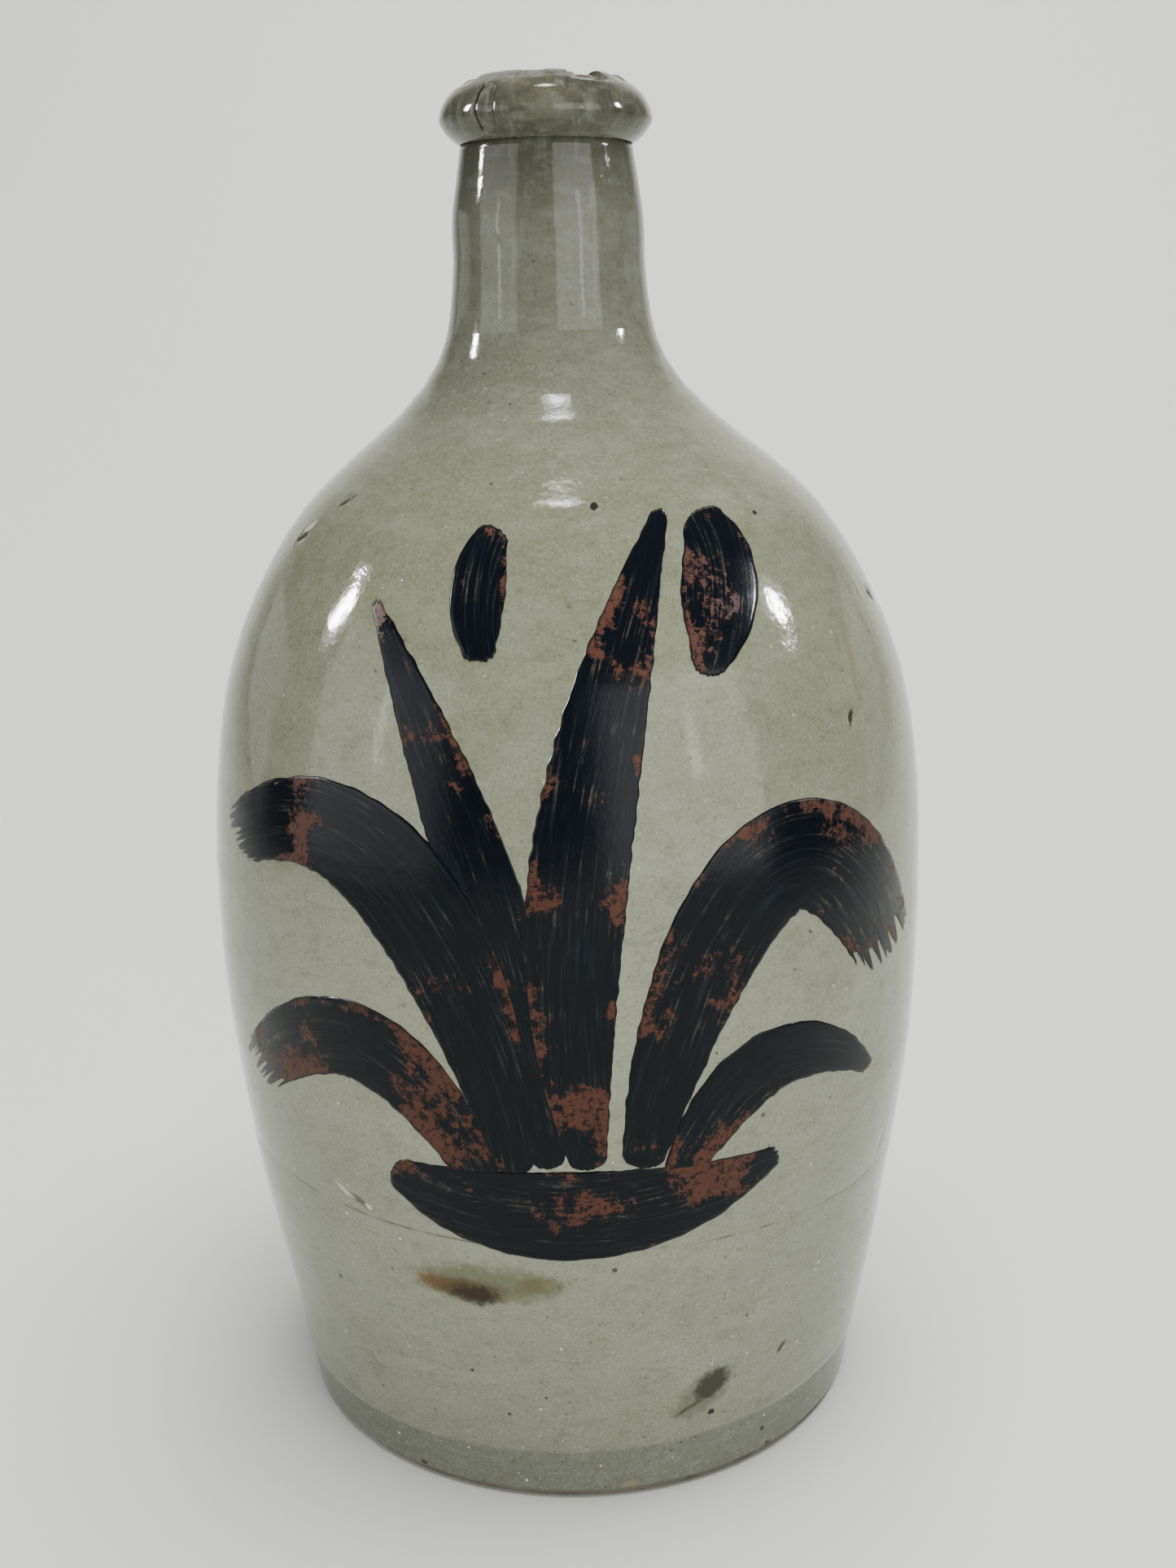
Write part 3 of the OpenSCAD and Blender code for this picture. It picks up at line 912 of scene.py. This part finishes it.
# The vertices of a shell's inner side.
def insideOf(places, name):
    run = coatRuns[name]
    radius = np.hypot(places[:, 0], places[:, 1])
    spot = np.column_stack([radius, places[:, 2]])
    nearest = np.full(len(spot), 1.0)
    for a, b in zip(run, run[1:]):
        step = b - a
        t = np.clip(((spot - a) @ step) / (step @ step), 0, 1)
        gap = np.linalg.norm(spot - a - t[:, None] * step, axis=1)
        nearest = np.minimum(nearest, gap)
    return nearest > coat["thickness"] * mm * 0.6


def makeCoat():
    pieces = {}
    for name, sizes in coatPieces.items():
        fine = fineRun(coatRuns[name], sizes["row"])
        outline = shellOutline(fine, coat["thickness"], sizes["keep"])
        piece = turnPiece(name, outline, sizes["columns"], coat["crowding"],
                          coat["ringDepth"], coat["ringSpacing"], glazeSkin)
        wearPiece(piece, name)
        finishPiece(piece, "glaze", "glaze_coat")
        pieces[name] = piece
        print(name, len(outline), "rows", len(piece.data.polygons), "faces")
    return pieces


def finishPiece(piece, slot, *nodes):
    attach(piece, "root")
    if nodes:
        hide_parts(*nodes)


# The clay sections and the lining keep their CAD meshes, leaned over with the coat.
def makeClay():
    for node, slot, material in (
        ("base_disc", "clay", bareClay), ("foot_band", "clay", bareClay),
        ("lower_wall", "clay", bareClay), ("belly_wall", "clay", bareClay),
        ("shoulder_wall", "clay", bareClay), ("neck_tube", "clay", bareClay),
        ("lip_collar", "clay", bareClay), ("glaze_lining", "glaze", glazeSkin),
    ):
        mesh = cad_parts[node].data.copy()
        shape = bmesh.new()
        shape.from_mesh(mesh)
        bmesh.ops.remove_doubles(shape, verts=shape.verts, dist=1e-7)
        shape.to_mesh(mesh)
        shape.free()
        places = readPlaces(mesh)
        if node in ("lip_collar", "glaze_lining"):
            notchRim(places, cadBounds[1][2] / mm)
        writePlaces(mesh, leanOver(places))
        mesh.materials.clear()
        mesh.materials.append(material)
        piece = bpy.data.objects.new(node + "_fired", mesh)
        bpy.context.scene.collection.objects.link(piece)
        finishPiece(piece, slot, node)
    print("clay and lining in place")


# Each stroke's start, the two points it leans towards and its end, across and up the
# front, and its width at the start, in the middle and at the end, as the CAD has them.
# Fray is how far its last bristles fall short.
strokes = {
    "blade_short": {"path": ((-4, 79), (-8, 110), (-16, 140), (-32, 174)), "width": (6, 23, 2)},
    "blade_tall": {"path": ((3, 79), (-3, 114), (3, 152), (17, 188)), "width": (7, 29, 3)},
    "blade_left": {"path": ((-10, 78), (-16, 118), (-34, 150), (-60, 130)), "width": (7, 30, 10),
                   "fray": 2.5},
    "blade_right": {"path": ((13, 79), (22, 124), (42, 152), (59, 108)), "width": (8, 29, 13),
                    "fray": 5.5},
    "blade_low_left": {"path": ((-16, 74), (-28, 100), (-44, 106), (-59, 84)),
                       "width": (7, 23, 9), "fray": 4.5},
    "blade_low_right": {"path": ((20, 75), (29, 94), (41, 100), (56, 84)), "width": (7, 21, 3)},
    "ground_stroke": {"path": ((-30, 72), (-12, 65), (14, 65), (36, 73)), "width": (8, 31, 5)},
    "bud_dab": {"path": ((25, 186), (28, 180), (28, 172), (25, 165)), "width": (8, 20, 7)},
    "seed_dab": {"path": ((-12, 185), (-14, 180), (-15, 174), (-14, 168)), "width": (6, 13, 6)},
}
brush = {
    "acrossSteps": 44,
    "alongStep": 0.5,
    "raggedness": 0.35,
    "raggedSize": 2.2,
    "lift": 0.1,
    "layerLift": 0.02,
    "sink": 0.1,
    "blunt": 0.35,
    "headRagged": 0.25,
    "tailRagged": 0.5,
    "rimWidth": 0.5,
    "rimLift": 0.4,
    "curveSteps": 200,
}


def bezier(points, t):
    a, b, c, d = (np.array(p, float) for p in points)
    t = t[:, None]
    return (1 - t) ** 3 * a + 3 * t * (1 - t) ** 2 * b + 3 * t**2 * (1 - t) * c + t**3 * d


def wander(x, seed):
    return np.array([noise.noise(Vector((float(v), seed * 7.3, 1.7))) for v in x])


# The faces of a thin slab: its top, its underside and its rim.
def slabFaces(rows, columns):
    acrossCount = columns + 1
    count = (rows + 1) * acrossCount
    faces = []
    for i in range(rows):
        for j in range(columns):
            a = i * acrossCount + j
            quad = (a, a + 1, a + 1 + acrossCount, a + acrossCount)
            faces.append(quad)
            faces.append(tuple(v + count for v in reversed(quad)))
    rimWalk = list(range(acrossCount))
    rimWalk += [i * acrossCount + columns for i in range(1, rows + 1)]
    rimWalk += [rows * acrossCount + j for j in range(columns - 1, -1, -1)]
    rimWalk += [i * acrossCount for i in range(rows - 1, 0, -1)]
    for a, b in zip(rimWalk, rimWalk[1:] + rimWalk[:1]):
        faces.append((b, a, a + count, b + count))
    return faces


def makeStroke(name, stroke, order, surface, material):
    evenly = np.linspace(0, 1, brush["curveSteps"])
    dense = bezier(stroke["path"], evenly)
    length = np.append(0, np.cumsum(np.linalg.norm(np.diff(dense, axis=0), axis=1)))
    start, middle, end = stroke["width"]
    blunt = brush["blunt"]
    total = length[-1] + blunt * (start + end)
    rows = int(total / brush["alongStep"])
    columns = brush["acrossSteps"]
    side = np.linspace(-1, 1, columns + 1)
    rounded = np.sqrt(np.clip(1 - side**2, 0, 1))
    # each bristle lifts off at its own place, so the ends are ragged
    headReach = blunt * start * rounded + brush["headRagged"] * wander(side * 6, order)
    tailReach = blunt * end * rounded + brush["tailRagged"] * wander(side * 7, order + 20)
    tailReach -= stroke.get("fray", 0) * np.clip(wander(side * 9, order + 40) * 3, 0, 1)
    places = []
    marks = []
    for i in range(rows + 1):
        share = i / rows
        at = -headReach + share * (length[-1] + headReach + tailReach)
        t = np.interp(at, length, evenly)
        centre = bezier(stroke["path"], t)
        ahead = bezier(stroke["path"], np.minimum(t + 0.01, 1))
        behind = bezier(stroke["path"], np.maximum(t - 0.01, 0))
        heading = ahead - behind
        heading /= np.linalg.norm(heading, axis=1)[:, None]
        past = (at - np.clip(at, 0, length[-1]))[:, None]
        width = (1 - t) ** 2 * start + 2 * t * (1 - t) * middle + t**2 * end
        offCentre = side * width / 2
        rim = np.array([
            noise.noise(Vector((a / brush["raggedSize"], order * 5.1, s * 3)))
            for a, s in zip(at, np.sign(side))
        ])
        offCentre += rim * brush["raggedness"] * np.abs(side) ** 3 * np.sign(side)
        place = centre + heading * past
        place += np.column_stack([-heading[:, 1], heading[:, 0]]) * offCentre[:, None]
        rimGap = np.minimum(width / 2 - np.abs(offCentre), np.minimum(
            at + headReach, length[-1] + tailReach - at))
        places.append(place)
        marks.append(np.column_stack([at, offCentre, np.maximum(rimGap, 0)]))
    places = np.array(places)
    marks = np.array(marks)
    top = []
    bottom = []
    lift = (brush["lift"] + brush["layerLift"] * order) * mm
    for (x, z), (_, _, rimGap) in zip(places.reshape(-1, 2), marks.reshape(-1, 3)):
        spot, normal, _, _ = surface.ray_cast(
            Vector((x * mm, cadBounds[0][1] - 0.05, z * mm)), Vector((0, 1, 0))
        )
        swell = min(rimGap / brush["rimWidth"], 1) * (1 - brush["rimLift"]) + brush["rimLift"]
        top.append(spot + normal * lift * swell)
        bottom.append(spot - normal * brush["sink"] * mm)
    mesh = bpy.data.meshes.new(name + "_ink")
    mesh.from_pydata([tuple(v) for v in top + bottom], [], slabFaces(rows, columns))
    faceOutwards(mesh)
    mesh.shade_smooth()
    flat = np.concatenate([marks.reshape(-1, 3)] * 2)
    for column, label in enumerate(("along", "across", "edge")):
        writeValues(mesh, label, flat[:, column])
    mesh.materials.append(material)
    piece = bpy.data.objects.new(name + "_ink", mesh)
    bpy.context.scene.collection.objects.link(piece)
    finishPiece(piece, "iron_pigment", name)


def makeStrokes(body):
    shape = bmesh.new()
    shape.from_mesh(body.data)
    surface = BVHTree.FromBMesh(shape)
    for order, (name, stroke) in enumerate(strokes.items()):
        makeStroke(name, stroke, order, surface, inkMaterial(name + "Ink", ink, order + 1))
    shape.free()
    print("strokes laid")


# The paper sweep that the pot stands on, grey towards its sides as painted shade for the dim room
# beside it, which the glaze reflects near its edges.
stageSizes = {
    "paper": (213, 215, 207),
    "shadedSidePaper": (132, 133, 130),
    "width": 1700,
    "front": -1500,
    "bendStart": 130,
    "bendRadius": 700,
    "wallTop": 2200,
    "bendSteps": 24,
    "greyFrom": 420,
    "greyFull": 800,
}


def makeFloor(sizes):
    r = Recipe("sweep")
    # painted shade: the paper greys towards its sides
    sideShade = r.span(r.maths("ABSOLUTE", r.parts()["X"]), sizes["greyFrom"] * mm,
                    sizes["greyFull"] * mm)
    shade = r.mix(sideShade, sizes["paper"], sizes["shadedSidePaper"])
    paper = r.finish(Base_Color=shade, Roughness=0.9)
    profile = [(sizes["front"], 0), (sizes["bendStart"], 0)]
    for k in range(1, sizes["bendSteps"] + 1):
        a = math.radians(90 * k / sizes["bendSteps"])
        profile.append((
            sizes["bendStart"] + sizes["bendRadius"] * math.sin(a),
            sizes["bendRadius"] * (1 - math.cos(a)),
        ))
    profile.append((profile[-1][0], sizes["wallTop"]))
    half = sizes["width"] / 2
    corners = [(side * half * mm, y * mm, z * mm) for y, z in profile for side in (-1, 1)]
    faces = [(2 * i, 2 * i + 1, 2 * i + 3, 2 * i + 2) for i in range(len(profile) - 1)]
    mesh = bpy.data.meshes.new("sweep")
    mesh.from_pydata(corners, [], faces)
    mesh.shade_smooth()
    mesh.materials.append(paper)
    floor = bpy.data.objects.new("sweep", mesh)
    bpy.context.scene.collection.objects.link(floor)
    print("floor laid")


# Each lamp by its turn from the camera side, its height above level, how far off it
# stands, its size across and up, and its power in watts. Gloss lamps show only as
# highlights in the glaze, and shade lamps give all the rest of the light.
lamps = {
    "leftLamp": {"turn": -93, "rise": 27.7, "away": 890, "size": (80, 185), "power": 14,
                 "shape": "ELLIPSE", "only": "gloss"},
    "leftHalo": {"turn": -93, "rise": 27.7, "away": 900, "size": (150, 270), "power": 0.8,
                 "shape": "ELLIPSE", "only": "gloss"},
    "rightLamp": {"turn": 88, "rise": 28.8, "away": 890, "size": (66, 112), "power": 8,
                  "shape": "ELLIPSE", "only": "gloss"},
    "rightHalo": {"turn": 88, "rise": 29.5, "away": 900, "size": (150, 180), "power": 0.6,
                  "shape": "ELLIPSE", "only": "gloss"},
    "ceilingLamp": {"turn": 0, "rise": 87, "away": 1400, "size": (330, 210), "power": 3.2,
                    "shape": "ELLIPSE", "only": "gloss"},
    "ceilingGlow": {"turn": 0, "rise": 87, "away": 1390, "size": (150, 90), "power": 1.6,
                    "shape": "ELLIPSE", "only": "gloss"},
    "ceilingWash": {"turn": 60, "rise": 82, "away": 1500, "size": (1300, 1100), "power": 53,
                    "only": "shade"},
    "frontFill": {"turn": 6, "rise": 7, "away": 1600, "size": (800, 600), "power": 16,
                  "only": "shade"},
    "leftPanel": {"turn": -62, "rise": 6, "away": 1300, "size": (1150, 1120), "power": 11.5,
                  "only": "gloss"},
    "leftSide": {"turn": -122, "rise": -1, "away": 1100, "size": (620, 560), "power": 0.9,
                 "only": "gloss"},
    "rightSide": {"turn": 122, "rise": -1, "away": 1100, "size": (620, 560), "power": 0.7,
                  "only": "gloss"},
    "leftGlow": {"turn": -60, "rise": 13, "away": 1280, "size": (70, 330), "power": 0.5,
                 "only": "gloss"},
    "rightPanel": {"turn": 36, "rise": 7, "away": 1300, "size": (1250, 1120), "power": 19,
                   "only": "gloss"},
    "rightGlow": {"turn": 40, "rise": 14, "away": 1280, "size": (80, 400), "power": 0.7,
                  "only": "gloss"},
}
aimHeight = 150
room = {"colour": (0.95, 0.98, 1.0), "strength": 0.12}


def makeLamps():
    target = Vector((0, 0, aimHeight * mm))
    for name, lamp in lamps.items():
        turn = math.radians(lamp["turn"])
        rise = math.radians(lamp["rise"])
        away = Vector((
            math.sin(turn) * math.cos(rise), -math.cos(turn) * math.cos(rise), math.sin(rise)
        ))
        data = bpy.data.lights.new(name, "AREA")
        data.shape = lamp.get("shape", "RECTANGLE")
        data.size = lamp["size"][0] * mm
        data.size_y = lamp["size"][1] * mm
        data.energy = lamp["power"]
        light = bpy.data.objects.new(name, data)
        bpy.context.scene.collection.objects.link(light)
        light.location = target + away * lamp["away"] * mm
        light.rotation_euler = away.to_track_quat("Z", "Y").to_euler()
        light.visible_glossy = lamp["only"] == "gloss"
        light.visible_diffuse = lamp["only"] == "shade"
    world = bpy.data.worlds.new("room")
    bpy.context.scene.world = world
    world.use_nodes = True
    air = world.node_tree.nodes["Background"]
    air.inputs["Color"].default_value = (*room["colour"], 1)
    air.inputs["Strength"].default_value = room["strength"]
    print(len(lamps), "lamps lit")


makeCamera(cameraPlace)
turningTree = makeTurningTree()
glazeSkin = glazeMaterial("ashGlaze", glaze)
bareClay = clayMaterial("stoneware", clay)
coatRuns = splitCoat()
coatMade = makeCoat()
makeClay()
makeStrokes(coatMade["glaze_body"])
makeFloor(stageSizes)
makeLamps()
